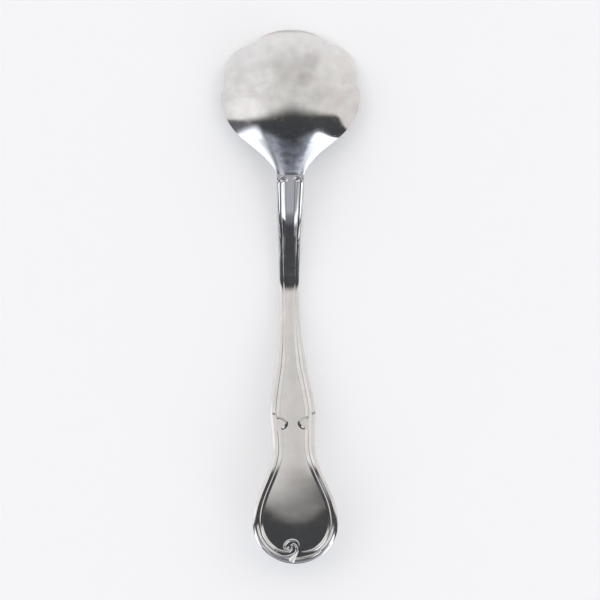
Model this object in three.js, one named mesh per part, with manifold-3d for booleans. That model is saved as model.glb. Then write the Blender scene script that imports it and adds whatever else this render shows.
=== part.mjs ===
// Sugar spoon with a five-lobed shell bowl and a reeded, scroll-ended handle, lying face down.
// Millimetres, +Z up, bowl toward +Y, handle toward -Y. A station is a distance from the bowl's tip.
import * as THREE from "three";
import { mergeVertices } from "three/addons/utils/BufferGeometryUtils.js";
import Module from "manifold-3d";

// Lengths along the spoon, from the bowl's tip to the handle's end
const TIP_LOBE_LENGTH = 4.4;
const UPPER_LOBE_LENGTH = 11.4;
const LOWER_LOBE_RISE = 3.5;
const LOWER_LOBE_FALL = 11.8;
const FLANK_LENGTH = 10.6;
const STEM_LENGTH = 35.3;
const TAPER_LENGTH = 32;
const WAIST_LENGTH = 9.5;
const FLARE_LENGTH = 21.7;
const END_LENGTH = 11.8;
const BOWL_CENTRE = 18.5;

// Widths
const TIP_LOBE_WIDTH = 19.4;
const SIDE_NOTCH_WIDTH = 36.4;
const BOWL_WIDTH = 39.7;
const FLANK_WIDTH = 27.5;
const NECK_WIDTH = 7.7;
const COLLAR_WIDTH = 7.9;
const STEM_WIDTH = 5.5;
const SHOULDER_WIDTH = 13.1;
const WAIST_WIDTH = 12.2;
const END_WIDTH = 24.3;
const UPPER_LOBE_BULGE = 4.1;

// Depths, heights and thicknesses
const BOWL_DEPTH = 8.2;
const BOWL_WALL = 1.5;
const RIM_LAND = 1.1;
const RIM_EDGE = 0.5;
const NECK_THICK = 2.7;
const NECK_CROWN = 0.35;
const NECK_STEP = 0.15;
const END_THICK = 1.5;
const WAIST_CROWN = 0.3;

// How full the bowl's arch is, how far in the lobes fade, and the cavity's slope where it meets the neck
const DOME_POWER = 2;
const LOBE_POWER = 3.5;
const CAVITY_END = 0.3;
const NECK_BLEND_FROM = 0.1;

// Handle seen from the side: the slope at which it leaves the neck, then its bends as
// [change of slope, start, end] in shares of its length
const NECK_SLOPE = -0.29;
const BENDS = [
  [0.185, 0.096, 0.148],
  [0.24, 0.257, 0.315],
  [0.02, 0.33, 0.6],
  [-0.095, 0.675, 0.785],
  [-0.11, 0.83, 0.95],
];

// Seen from above, the stem bows to the left; toward the end the lines of equal height sweep back
const SIDE_BOW = 1;
const END_SWEEP = 0.15;

// How far the two handles of each side curve reach along it
const STEM_PULLS = [0.2, 0.635];
const TAPER_PULLS = [0.437, 0.84];
const WAIST_PULLS = [0.05, 0.85];
const FLARE_PULLS = [0.37, 0.62];
const LOBE_PULLS = { out: 0.6, up: 0.12, back: 0.5, down: 0.36, reach: 0.27 };
const FLANK_PULLS = { leaveIn: 0.39, leaveDown: 0.293, reachIn: 0.955, reachDown: 0.691 };

// Reeded border, as shares of its width from the edge inward: broad outer ridge, groove, narrow inner ridge
const BORDER_WIDTH = 3;
const BORDER_SHARE = 0.66;
const EDGE_SHARE = 0.06;
const OUTER_CREST = 0.34;
const GROOVE_AT = 0.63;
const INNER_CREST = 0.76;
const PANEL_FROM = 1.06;
const OUTER_HEIGHT = 0.36;
const INNER_HEIGHT = 0.3;
const EDGE_DROP = 0.25;

// Where the ridges start below the neck curls, pause beside the shoulder scrolls and end at the end scroll
const CURL_LENGTH = 1.1;
const RIDGE_RUN_IN = 0.9;
const SHOULDER_SCROLL_AT = 112.3;
const SHOULDER_SCROLL_REACH = 1.5;
const END_SCROLL_FROM = 0.85;
const END_SCROLL_RUN_OUT = 0.2;
const OUTER_BELOW_SCROLL = 0.6;

// Scroll strands: points in plan as [offset to the right, station], and half widths spread along them
const STRAND_RISE = 0.8;
const STRAND_END_POWER = 14;
const SHOULDER_SCROLL = {
  plan: [[4.3, 110.5], [3.5, 110.7], [2.5, 111.15], [1.8, 111.9], [1.85, 112.7], [2.5, 113.35], [3.5, 113.6]],
  widths: [0.3, 0.36, 0.36, 0.3],
};
const NECK_CURL = {
  plan: [[3.4, 43.1], [2.6, 42.35], [1.65, 42.1], [1, 42.7], [1.35, 43.4], [1.95, 43.3]],
  widths: [0.24, 0.34, 0.36, 0.32],
};
const END_CREST = {
  plan: [
    [1.04, 147.15], [0.71, 146], [-0.09, 145.4], [-1.08, 145.25], [-2.22, 145.6],
    [-3, 146.4], [-3.16, 147.3], [-2.75, 147.95], [-2.2, 147.7], [-2.15, 147],
  ],
  widths: [0.08, 0.3, 0.4, 0.42, 0.4, 0.36, 0.34],
};
const END_INNER = {
  plan: [
    [-7.2, 146.65], [-6.1, 147.5], [-5, 148.05], [-3.93, 148.4], [-2.3, 148.6],
    [-1.4, 148.1], [-1.05, 147.45], [-1.05, 146.87], [-1.42, 146.4],
  ],
  widths: [0.2, 0.4, 0.38, 0.3, 0.26],
};
const END_OUTER = {
  plan: [
    [-7.6, 147.9], [-6.9, 148.55], [-5.64, 149.35], [-3.36, 149.95], [-1.37, 149.65],
    [-0.09, 148.9], [0.28, 147.6], [-0.23, 146.6], [-0.94, 146.15],
  ],
  widths: [0.25, 0.46, 0.46, 0.4, 0.28],
};
const END_INNER_RIGHT = {
  plan: [[1.48, 148.66], [3, 148.6], [4.3, 148.3], [5.4, 147.85], [6.1, 147.5], [7.2, 146.65]],
  widths: [0.12, 0.36, 0.42, 0.2],
};
const END_OUTER_RIGHT = {
  plan: [[0.77, 150.4], [2.9, 150.1], [5, 149.6], [6.9, 148.55], [7.6, 147.9]],
  widths: [0.12, 0.4, 0.46, 0.25],
};
const END_LEAF = {
  plan: [[0.8, 148.2], [0, 149.4], [-0.9, 150.7], [-1.4, 151.4]],
  widths: [0.12, 0.4, 0.75, 0.7],
};

// How finely the surfaces are divided
const LOBE_STEPS = 9;
const LOBE_SHOULDER_STEPS = 3;
const FLANK_STEPS = 8;
const NECK_STEPS = 8;
const SIDE_STEPS = 10;
const END_STEPS = 12;
const BACK_RINGS = 10;
const CAVITY_RINGS = 9;
const PANEL_RINGS = 3;
const EDGE_INSETS = [0, 0.02, EDGE_SHARE, 0.2];
const RIDGE_INSETS = [OUTER_CREST, 0.44, 0.54, GROOVE_AT, 0.69, INNER_CREST, 0.88, 1, PANEL_FROM];
const STRAND_SIDES = 6;
const STRAND_STEPS = 2;
const MERGE_WITHIN = 1e-4;

// Stations
const sideNotchAt = TIP_LOBE_LENGTH + UPPER_LOBE_LENGTH;
const widestAt = sideNotchAt + LOWER_LOBE_RISE;
const flankAt = widestAt + LOWER_LOBE_FALL;
const neckAt = flankAt + FLANK_LENGTH;
const stemAt = neckAt + STEM_LENGTH;
const shoulderAt = stemAt + TAPER_LENGTH;
const waistAt = shoulderAt + WAIST_LENGTH;
const fanAt = waistAt + FLARE_LENGTH;
const spoonLength = fanAt + END_LENGTH;
const handleLength = spoonLength - neckAt;
const heelLength = neckAt - BOWL_CENTRE;
const neckTop = NECK_THICK - NECK_STEP;

const steel = { color: 0xc9c8c4, metalness: 1, roughness: 0.18 };
const wasm = await Module();
wasm.setup();

const mix = THREE.MathUtils.lerp;
const clamp = THREE.MathUtils.clamp;
const ease = (from, to, at) => THREE.MathUtils.smoothstep(at, from, to);

// A place on the spoon from plan and height
function onSpoon(x, station, height) {
  const share = clamp((station - BOWL_CENTRE) / (fanAt - BOWL_CENTRE), 0, 1);
  const bow = SIDE_BOW * Math.sin(Math.PI * share) ** 2;
  return new THREE.Vector3(x - bow, spoonLength / 2 - station, height);
}

// Rise gained over a bend that eases in and out between two shares of the handle's length, per unit of slope
function bendRise(station, from, to) {
  const start = neckAt + from * handleLength;
  const span = (to - from) * handleLength;
  const share = clamp((station - start) / span, 0, 1);
  return span * (share ** 3 - share ** 4 / 2) + Math.max(0, station - start - span);
}

// Underside of the handle over the neck's level: it falls from the neck to an arch that rests on the table,
// sweeps up again and rounds over toward the raised end.
function undersideHeight(x, station) {
  const along = station + END_SWEEP * ease(waistAt, waistAt + WAIST_LENGTH, station) * x ** 2;
  let height = NECK_SLOPE * (along - neckAt);
  for (const [change, from, to] of BENDS) {
    height += change * bendRise(along, from, to);
  }
  return height;
}

// Right half of the bowl's outline, from the tip over three lobes and along the flank to the neck
function bowlHalfOutline() {
  const half = BOWL_WIDTH / 2;
  const tipNotch = new THREE.Vector2(TIP_LOBE_WIDTH / 2, TIP_LOBE_LENGTH);
  const sideNotch = new THREE.Vector2(SIDE_NOTCH_WIDTH / 2, sideNotchAt);
  const widest = new THREE.Vector2(half, widestAt);
  const flank = new THREE.Vector2(FLANK_WIDTH / 2, flankAt);
  const neck = new THREE.Vector2(NECK_WIDTH / 2, neckAt);
  const tipLobe = new THREE.EllipseCurve(0, tipNotch.y, tipNotch.x, tipNotch.y, -Math.PI / 2, 0);
  const upperLobe = arcBetween(tipNotch, sideNotch, UPPER_LOBE_BULGE);
  const lobeShoulder = new THREE.CubicBezierCurve(
    sideNotch,
    new THREE.Vector2(mix(sideNotch.x, half, LOBE_PULLS.out), sideNotchAt + LOWER_LOBE_RISE * LOBE_PULLS.up),
    new THREE.Vector2(half, widestAt - LOWER_LOBE_RISE * LOBE_PULLS.back),
    widest,
  );
  const lowerLobe = new THREE.CubicBezierCurve(
    widest,
    new THREE.Vector2(half, widestAt + LOWER_LOBE_FALL * LOBE_PULLS.down),
    new THREE.Vector2(mix(flank.x, half, LOBE_PULLS.out), flankAt - LOWER_LOBE_FALL * LOBE_PULLS.reach),
    flank,
  );
  const flankLine = new THREE.CubicBezierCurve(
    flank,
    new THREE.Vector2(mix(flank.x, neck.x, FLANK_PULLS.leaveIn), mix(flankAt, neckAt, FLANK_PULLS.leaveDown)),
    new THREE.Vector2(mix(flank.x, neck.x, FLANK_PULLS.reachIn), mix(flankAt, neckAt, FLANK_PULLS.reachDown)),
    neck,
  );
  const pieces = [
    [tipLobe, LOBE_STEPS],
    [upperLobe, LOBE_STEPS],
    [lobeShoulder, LOBE_SHOULDER_STEPS],
    [lowerLobe, LOBE_STEPS],
    [flankLine, FLANK_STEPS],
  ];
  return pieces.flatMap(([curve, steps]) => curve.getPoints(steps).slice(0, steps));
}

// Circular arc from one point to another that stands out from its chord by the bulge
function arcBetween(from, to, bulge) {
  const chord = from.distanceTo(to);
  const radius = (chord * chord) / (8 * bulge) + bulge / 2;
  const out = new THREE.Vector2(to.y - from.y, from.x - to.x).divideScalar(chord);
  const centre = from.clone().lerp(to, 0.5).addScaledVector(out, bulge - radius);
  const start = Math.atan2(from.y - centre.y, from.x - centre.x);
  const end = Math.atan2(to.y - centre.y, to.x - centre.x);
  return new THREE.EllipseCurve(centre.x, centre.y, radius, radius, start, end);
}

// Closed outline of the bowl: right half, the straight cut across the neck, left half
function bowlOutline() {
  const right = bowlHalfOutline();
  const neck = NECK_WIDTH / 2;
  const cut = [];
  for (let step = 0; step <= NECK_STEPS; step += 1) {
    cut.push(new THREE.Vector2(mix(neck, -neck, step / NECK_STEPS), neckAt));
  }
  const left = right.slice(1).reverse().map((point) => new THREE.Vector2(-point.x, point.y));
  return [...right, ...cut, ...left];
}

// Half width of an outline at a station, from its right-hand points in order of station
function halfWidthAt(points, station) {
  const next = points.findIndex((point) => point.y >= station);
  if (next < 1) {
    return points.at(next).x;
  }
  const before = points[next - 1];
  const after = points[next];
  return mix(before.x, after.x, (station - before.y) / (after.y - before.y));
}

// The bowl is a fan of spokes from its centre. Each spoke runs out over the back, down the edge, across the
// flat rim and back in through the cavity. Toward the tip the back is a dome whose lobes fade toward the
// centre; toward the neck each cross-section is an arch between the middle line and the edge.
function bowlGeometry(neckRise) {
  const mouthSlope = neckRise / neckAt;
  const outline = bowlOutline();
  const heelSide = [...bowlHalfOutline(), new THREE.Vector2(NECK_WIDTH / 2, neckAt)];
  const spokes = outline.map((point) => {
    const reach = Math.hypot(point.x, point.y - BOWL_CENTRE);
    const around = new THREE.Vector2(point.x, point.y - BOWL_CENTRE).divideScalar(reach);
    const oval = 1 / Math.hypot((2 * around.x) / BOWL_WIDTH, around.y / BOWL_CENTRE);
    return { around, reach, plain: around.y > 0 ? reach : oval };
  });
  const heel = (share, end) => 1 - (2 - end / 2) * share ** 2 + (1 - end / 2) * share ** 4;
  const arch = (spoke, share, form) => {
    const x = share * spoke.plain * spoke.around.x;
    const past = clamp((share * spoke.plain * spoke.around.y) / heelLength, 0, 1);
    const edge = mix(form.rim, form.neckEdge, ease(NECK_BLEND_FROM, 1, past));
    const top = mix(form.neckTop, form.depth, heel(past, form.end));
    const half = halfWidthAt(heelSide, BOWL_CENTRE + past * heelLength);
    const out = spoke.around.y > 0 ? Math.min(1, Math.abs(x) / half) : share;
    return edge + (top - edge) * (1 - out ** DOME_POWER);
  };
  const place = (spoke, share, scale, height) => {
    const distance = share * scale * mix(spoke.plain, spoke.reach, share ** LOBE_POWER);
    const station = BOWL_CENTRE + distance * spoke.around.y;
    return onSpoon(distance * spoke.around.x, station, mouthSlope * (station - neckAt) + height);
  };
  const back = {
    depth: BOWL_DEPTH,
    rim: RIM_EDGE,
    neckTop,
    neckEdge: neckTop - NECK_CROWN,
    end: ((mouthSlope - NECK_SLOPE) * heelLength) / (BOWL_DEPTH - neckTop),
  };
  const cavity = { depth: BOWL_DEPTH - BOWL_WALL, rim: 0, neckTop: 0, neckEdge: 0, end: CAVITY_END };
  const rows = spokes.map((spoke) => {
    const row = [];
    for (let ring = 0; ring <= BACK_RINGS; ring += 1) {
      const share = Math.sin((ring / BACK_RINGS) * (Math.PI / 2));
      row.push(place(spoke, share, 1, arch(spoke, share, back)));
    }
    row.push(place(spoke, 1, 1, 0));
    for (let ring = CAVITY_RINGS; ring >= 0; ring -= 1) {
      const share = Math.sin((ring / CAVITY_RINGS) * (Math.PI / 2));
      row.push(place(spoke, share, 1 - RIM_LAND / spoke.reach, arch(spoke, share, cavity)));
    }
    return row;
  });
  return sheetGeometry(rows, true);
}

// Right half of the handle's outline, from the collar to the middle of the rounded end. Each side curve
// leaves and reaches its turning points along the spoon.
function handleHalfOutline() {
  const turns = [
    [COLLAR_WIDTH / 2, neckAt],
    [STEM_WIDTH / 2, stemAt],
    [SHOULDER_WIDTH / 2, shoulderAt],
    [WAIST_WIDTH / 2, waistAt],
    [END_WIDTH / 2, fanAt],
  ];
  const points = [STEM_PULLS, TAPER_PULLS, WAIST_PULLS, FLARE_PULLS].flatMap(([leave, reach], side) => {
    const [fromX, fromAt] = turns[side];
    const [toX, toAt] = turns[side + 1];
    const curve = new THREE.CubicBezierCurve(
      new THREE.Vector2(fromX, fromAt),
      new THREE.Vector2(fromX, mix(fromAt, toAt, leave)),
      new THREE.Vector2(toX, mix(fromAt, toAt, reach)),
      new THREE.Vector2(toX, toAt),
    );
    return curve.getPoints(SIDE_STEPS).slice(0, SIDE_STEPS);
  });
  const round = new THREE.EllipseCurve(0, fanAt, END_WIDTH / 2, END_LENGTH, 0, Math.PI / 2);
  return [...points, ...round.getPoints(END_STEPS)];
}

// Ridge with a round crest, 1 high, and straight-sided feet
function ridge(inset, foot, crest, farFoot) {
  const up = clamp((inset - foot) / (crest - foot), 0, 1);
  const down = clamp((inset - crest) / (farFoot - crest), 0, 1);
  return Math.sin((up * Math.PI) / 2) * Math.cos((down * Math.PI) / 2);
}

// Height of the border over the face: rounded edge, outer ridge, groove and inner ridge
function borderRelief(inset, station, endTurn) {
  const pastCurl = ease(neckAt + CURL_LENGTH, neckAt + CURL_LENGTH + RIDGE_RUN_IN, station);
  const toScroll = Math.abs(station - SHOULDER_SCROLL_AT) - SHOULDER_SCROLL_REACH;
  const sideShare = 1 - ease(END_SCROLL_FROM, END_SCROLL_FROM + END_SCROLL_RUN_OUT, endTurn);
  const outerShare = pastCurl * mix(OUTER_BELOW_SCROLL, 1, sideShare);
  const innerShare = pastCurl * sideShare * ease(0, RIDGE_RUN_IN, toScroll);
  const across = clamp(1 - inset / EDGE_SHARE, 0, 1);
  const edge = EDGE_DROP * (1 - Math.sqrt(1 - across ** 2));
  const outer = OUTER_HEIGHT * ridge(inset, -EDGE_SHARE, OUTER_CREST, GROOVE_AT);
  const inner = INNER_HEIGHT * ridge(inset, GROOVE_AT, INNER_CREST, 1);
  return outerShare * outer + innerShare * inner - edge;
}

// The handle is laid out on rays from its middle line to its outline; past the widest station the rays
// fan out from one point. The border's ridges follow the outline at their own distance from it.
function handleGeometry() {
  const left = handleOutline.slice(0, -1).reverse().map((point) => new THREE.Vector2(-point.x, point.y));
  const rows = [...handleOutline, ...left].map((edge) => {
    const root = new THREE.Vector2(0, Math.min(edge.y, fanAt));
    const length = root.distanceTo(edge);
    const border = Math.min(BORDER_WIDTH, BORDER_SHARE * length);
    const endTurn = Math.atan2(edge.y - root.y, Math.abs(edge.x));
    const panel = 1 - (PANEL_FROM * border) / length;
    const back = [];
    const front = [];
    const addStop = (share, inset) => {
      const spot = root.clone().lerp(edge, share);
      const relief = borderRelief(inset, spot.y, endTurn);
      back.push(onSpoon(spot.x, spot.y, backHeight(spot.x, spot.y) + relief));
      front.unshift(onSpoon(spot.x, spot.y, undersideHeight(spot.x, spot.y) - relief));
    };
    for (let ring = 0; ring < PANEL_RINGS; ring += 1) {
      addStop((panel * ring) / PANEL_RINGS, PANEL_FROM);
    }
    for (const inset of [...EDGE_INSETS, ...RIDGE_INSETS].reverse()) {
      addStop(1 - (inset * border) / length, inset);
    }
    return [...back, ...front];
  });
  return sheetGeometry(rows, false);
}

// How far a place on the handle is from the middle toward the edge, squared
function edgeShare(x, station) {
  const half = halfWidthAt(handleOutline, Math.min(station, fanAt));
  return (x / half) ** 2 + (Math.max(0, station - fanAt) / END_LENGTH) ** 2;
}

function backHeight(x, station) {
  const thick = mix(NECK_THICK, END_THICK, ease(stemAt, fanAt, station));
  const crown = mix(NECK_CROWN, WAIST_CROWN, ease(neckAt, shoulderAt, station));
  return undersideHeight(x, station) + thick - crown * edgeShare(x, station);
}

// Closed body from rows of points. A closed sheet joins its last row to its first; an open one is capped
// by flat ends between the two middles of its first and last rows.
function sheetGeometry(rows, closed) {
  const points = rows.flat();
  const wide = rows[0].length;
  const faces = [];
  const last = closed ? rows.length : rows.length - 1;
  for (let row = 0; row < last; row += 1) {
    const here = row * wide;
    const there = ((row + 1) % rows.length) * wide;
    for (let at = 0; at + 1 < wide; at += 1) {
      faces.push([here + at, there + at + 1, here + at + 1], [here + at, there + at, there + at + 1]);
    }
  }
  if (!closed) {
    const end = last * wide;
    for (let at = 0; at < wide / 2 - 1; at += 1) {
      const far = wide - 1 - at;
      faces.push([at, far - 1, far], [at, at + 1, far - 1]);
      faces.push([end + at, end + far, end + far - 1], [end + at, end + far - 1, end + at + 1]);
    }
  }
  const geometry = new THREE.BufferGeometry();
  geometry.setAttribute("position", new THREE.Float32BufferAttribute(points.flatMap((p) => p.toArray()), 3));
  geometry.setIndex(faces.flat());
  return withoutEmptyFaces(mergeVertices(geometry, MERGE_WITHIN));
}

function withoutEmptyFaces(geometry) {
  const index = geometry.index.array;
  const kept = [];
  for (let at = 0; at < index.length; at += 3) {
    const [a, b, c] = index.slice(at, at + 3);
    if (a !== b && b !== c && c !== a) {
      kept.push(a, b, c);
    }
  }
  geometry.setIndex(kept);
  return geometry;
}

// A strand of a scroll: an oval cord, half sunk in a face of the handle, that follows the face along a plan
// curve. Its ends are rounded off.
function strandGeometry({ plan, widths }, face) {
  const curve = new THREE.SplineCurve(plan.map(([x, station]) => new THREE.Vector2(x, station)));
  const steps = (plan.length - 1) * STRAND_STEPS;
  const rows = [];
  for (let step = 0; step <= steps; step += 1) {
    const share = step / steps;
    const middle = curve.getPoint(share);
    const ahead = curve.getTangent(share);
    const width = spread(widths, share) * Math.sqrt(1 - (2 * share - 1) ** STRAND_END_POWER);
    const row = [];
    for (let side = 0; side <= STRAND_SIDES; side += 1) {
      const angle = (side / STRAND_SIDES) * 2 * Math.PI;
      const out = width * Math.cos(angle);
      const x = middle.x - ahead.y * out;
      const station = middle.y + ahead.x * out;
      row.push(onSpoon(x, station, face(x, station) + STRAND_RISE * width * Math.sin(angle)));
    }
    rows.push(row);
  }
  return sheetGeometry(rows, false);
}

// Value at a share of the way along evenly spaced values
function spread(values, share) {
  const at = share * (values.length - 1);
  const before = Math.min(Math.floor(at), values.length - 2);
  return mix(values[before], values[before + 1], at - before);
}

function mirrored({ plan, widths }) {
  return { plan: plan.map(([x, station]) => [-x, station]), widths };
}

function toSolid(geometry) {
  const vertProperties = new Float32Array(geometry.attributes.position.array);
  const triVerts = new Uint32Array(geometry.index.array);
  return new wasm.Manifold(new wasm.Mesh({ numProp: 3, vertProperties, triVerts }));
}

function fromSolid(solid) {
  const { vertProperties, triVerts } = solid.getMesh();
  const geometry = new THREE.BufferGeometry();
  geometry.setAttribute("position", new THREE.Float32BufferAttribute(vertProperties, 3));
  geometry.setIndex(Array.from(triVerts));
  return geometry;
}

function namedNode(name, geometry) {
  geometry.computeVertexNormals();
  const node = new THREE.Mesh(geometry, new THREE.MeshStandardMaterial(steel));
  node.name = name;
  return node;
}

const handleOutline = handleHalfOutline();
const strands = [
  END_CREST,
  END_INNER,
  END_OUTER,
  END_INNER_RIGHT,
  END_OUTER_RIGHT,
  END_LEAF,
  SHOULDER_SCROLL,
  mirrored(SHOULDER_SCROLL),
  NECK_CURL,
  mirrored(NECK_CURL),
];
let handle = toSolid(handleGeometry());
for (const face of [backHeight, undersideHeight]) {
  for (const strand of strands) {
    handle = handle.add(toSolid(strandGeometry(strand, face)));
  }
}

const spoon = new THREE.Group();
spoon.name = "sugar_spoon";
const neckRise = -handle.boundingBox().min[2];
spoon.add(namedNode("shell_bowl", bowlGeometry(neckRise)));
spoon.add(namedNode("handle", fromSolid(handle)));
const box = new THREE.Box3().setFromObject(spoon);
for (const node of spoon.children) {
  node.geometry.translate(0, -(box.min.y + box.max.y) / 2, -box.min.z);
}
export default spoon;
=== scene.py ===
"""Sugar spoon of polished steel, lying face down: shell bowl, reeded handle and scrolls, in metres."""
import math

import bmesh
import bpy
import numpy as np
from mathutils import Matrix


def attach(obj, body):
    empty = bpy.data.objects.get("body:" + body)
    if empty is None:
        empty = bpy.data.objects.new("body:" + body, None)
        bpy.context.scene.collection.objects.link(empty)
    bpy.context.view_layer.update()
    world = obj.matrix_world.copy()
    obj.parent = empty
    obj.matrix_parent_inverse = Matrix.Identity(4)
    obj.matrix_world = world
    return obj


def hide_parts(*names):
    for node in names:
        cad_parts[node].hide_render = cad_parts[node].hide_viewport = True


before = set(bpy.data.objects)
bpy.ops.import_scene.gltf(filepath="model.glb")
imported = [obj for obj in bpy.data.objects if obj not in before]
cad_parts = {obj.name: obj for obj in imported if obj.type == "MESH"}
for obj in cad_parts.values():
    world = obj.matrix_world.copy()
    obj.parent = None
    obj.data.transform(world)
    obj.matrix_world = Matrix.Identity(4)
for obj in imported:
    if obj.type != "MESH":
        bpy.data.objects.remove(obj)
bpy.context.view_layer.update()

MM = 0.001
MICRON = 0.000001

# Lengths along the spoon in millimetres, from the bowl's tip to the handle's end
TIP_LOBE_LENGTH = 4.4
UPPER_LOBE_LENGTH = 11.4
LOWER_LOBE_RISE = 3.5
LOWER_LOBE_FALL = 11.8
FLANK_LENGTH = 10.6
STEM_LENGTH = 35.3
TAPER_LENGTH = 32.0
WAIST_LENGTH = 9.5
FLARE_LENGTH = 21.7
END_LENGTH = 11.8
BOWL_CENTRE = 18.5

# Widths
TIP_LOBE_WIDTH = 19.4
SIDE_NOTCH_WIDTH = 36.4
BOWL_WIDTH = 39.7
FLANK_WIDTH = 27.5
NECK_WIDTH = 7.7
COLLAR_WIDTH = 7.9
STEM_WIDTH = 5.5
SHOULDER_WIDTH = 13.1
WAIST_WIDTH = 12.2
END_WIDTH = 24.3
UPPER_LOBE_BULGE = 4.1

# Depths and thicknesses
BOWL_DEPTH = 8.2
BOWL_WALL = 1.5
RIM_LAND = 1.1
RIM_EDGE = 0.5
NECK_THICK = 2.7
NECK_CROWN = 0.35
NECK_STEP = 0.06
NECK_ROUND = 1.0
NECK_RISE = 6.02
END_THICK = 1.5
WAIST_CROWN = 0.3
SIDE_BOW = 1.0

# Cubic curves of the outlines: both control points of each, as shares of the way across and along
BOWL_PULLS = (
    ((0.6, 0.12), (1.0, 0.5)),
    ((0.0, 0.36), (0.4, 0.73)),
    ((0.39, 0.293), (0.955, 0.691)),
)
HANDLE_PULLS = (
    ((0.0, 0.2), (1.0, 0.635)),
    ((0.0, 0.437), (1.0, 0.84)),
    ((0.0, 0.05), (1.0, 0.85)),
    ((0.0, 0.37), (1.0, 0.62)),
)

# The bowl's dome: power of its cross-section, reach of the lobes past the oval, lift of the edge at the
# heel, share of the heel where the edge starts to climb to the neck, and slope of the cavity at the neck
DOME_POWER = 2.0
LOBE_REACH = 1.06
HEEL_LIFT = 0.9
EDGE_CLIMB_FROM = 0.1
CAVITY_END_SLOPE = 0.3

# Slope at which the handle leaves the neck, then its bends: change of slope, start and end as shares of its
# length. Past the waist the bends come earlier toward the sides, and the end twists, its right side lower.
NECK_SLOPE = -0.29
BENDS = (
    (0.185, 0.088, 0.142),
    (0.24, 0.257, 0.315),
    (0.02, 0.33, 0.6),
    (-0.046, 0.7, 0.8),
    (-0.04, 0.78, 0.885),
    (-0.09, 0.87, 0.96),
)
END_SWEEP = 0.06
END_TWIST = 0.04
TWIST_AFTER_WAIST = 3.0
TWIST_BEFORE_FAN = 4.0

# Reeded border: its width and the most that it takes of the way to the middle line, places as shares of its
# width from the edge inward (bevel, broad outer ridge, groove, narrow ridge, panel), heights and powers
BORDER_WIDTH = 3.0
BORDER_SHARE = 0.66
EDGE_SHARE = 0.13
OUTER_CREST = 0.35
GROOVE_AT = 0.61
INNER_CREST = 0.74
PANEL_FROM = 1.06
OUTER_HEIGHT = 0.3
INNER_HEIGHT = 0.26
EDGE_DROP = 0.05
EDGE_ROUND = 1.5
RIDGE_SWELL = 1.4

# The border along the handle: shares of those heights, the distances from the neck, from the stem's
# narrowest place or from the middle line over which they change, and angles round the end in radians
NECK_REEDING = 0.5
NECK_REEDING_LENGTH = 8.0
CURL_LENGTH = 1.1
CURL_RUN_OUT = 0.9
NECK_RELIEF = 2.1
STEM_RELIEF = 0.3
NECK_TO_STEM_RELIEF = (-23.0, -10.0)
STEM_TO_END_RELIEF = 18.0
LEFT_RELIEF = 1.28
RIGHT_RELIEF = 1.0
LEFT_TO_RIGHT = 4.0
OUTER_RELIEF_LIMIT = 1.4
END_OUTER_RELIEF = 0.4
END_FLATTENS = (0.6, 1.0)
END_SCROLL_STARTS = (0.85, 1.05)
SCROLL_CLEAR = (1.5, 2.0)

# Nick across each border just past the shoulder, with its run as shares of the border's width
NICK_DEPTH = 0.14
NICK_AT = 0.3
NICK_SLANT = 0.8
NICK_WIDTH = 0.24
LEFT_NICK_DEPTH = 0.6
LEFT_NICK = (0.26, 0.32, 0.5, 0.56)
RIGHT_NICK = (0.02, 0.06, 0.32, 0.38)

# Painted shade in the nicks, the groove and along the inner ridge's foot, less of it on the taper
NICK_SHADE = 0.9
GROOVE_SHADE_WIDTH = 0.035
FOOT_SHADE = 0.6
FOOT_SHADE_WIDTH = 0.03
TAPER_LESS_SHADE = 0.65
LESS_SHADE_FROM_STEM = (-4.0, 2.0)
LESS_SHADE_PAST_WAIST = 8.0

# Painted shade in the line at the neck, as distances from the neck and from the middle, and wear on the
# heel, as stations and as shares of the half width
NECK_LINE_SHADE = 0.5
NECK_LINE_RUN = (-1.0, -0.7)
NECK_LINE_ASIDE = (1.6, 2.2)
HEEL_WEAR = (25.0, 33.0)
HEEL_WEAR_ASIDE = (0.4, 0.62)

# Scroll cords: plan curves as (offset to the right, station)
SHOULDER_SCROLL_AT = 112.3
SHOULDER_SCROLL = ((4.3, 110.5), (3.5, 110.7), (2.6, 111.1), (1.9, 111.75))
# Low cord under each shoulder scroll, painted wholly dark as a shadow
SHOULDER_SHADOW = ((1.6, 111.6), (1.75, 112.5), (2.4, 113.3), (3.35, 113.85))
# Small cord by each shoulder scroll, whitened on top as a painted highlight
SHOULDER_HIGHLIGHT = ((2.35, 112.95), (2.7, 113.35), (3.1, 113.6))
NECK_CURL = ((3.4, 43.1), (2.6, 42.35), (1.65, 42.1), (1.0, 42.7), (1.35, 43.4), (1.95, 43.3))
END_CREST = (
    (1.04, 147.15), (0.71, 146.0), (-0.09, 145.4), (-1.08, 145.25), (-2.22, 145.6),
    (-3.0, 146.4), (-3.16, 147.3), (-2.75, 147.95), (-2.2, 147.7), (-2.15, 147.0),
)
END_INNER = (
    (-7.2, 146.65), (-6.1, 147.5), (-5.0, 148.05), (-3.93, 148.4), (-2.3, 148.6),
    (-1.4, 148.1), (-1.05, 147.45), (-1.05, 146.87), (-1.42, 146.4),
)
END_OUTER = (
    (-7.6, 147.9), (-6.9, 148.55), (-5.64, 149.35), (-3.36, 149.95), (-1.37, 149.65),
    (-0.09, 148.9), (0.28, 147.6), (-0.23, 146.6), (-0.94, 146.15),
)
END_INNER_RIGHT = ((1.48, 148.66), (3.0, 148.6), (4.3, 148.3), (5.4, 147.85), (6.1, 147.5), (7.2, 146.65))
END_OUTER_RIGHT = ((0.77, 150.4), (2.9, 150.1), (5.0, 149.6), (6.9, 148.55), (7.6, 147.9))
END_LEAF = ((0.75, 148.3), (0.0, 149.3), (-0.8, 150.4), (-1.5, 151.5))
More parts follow.
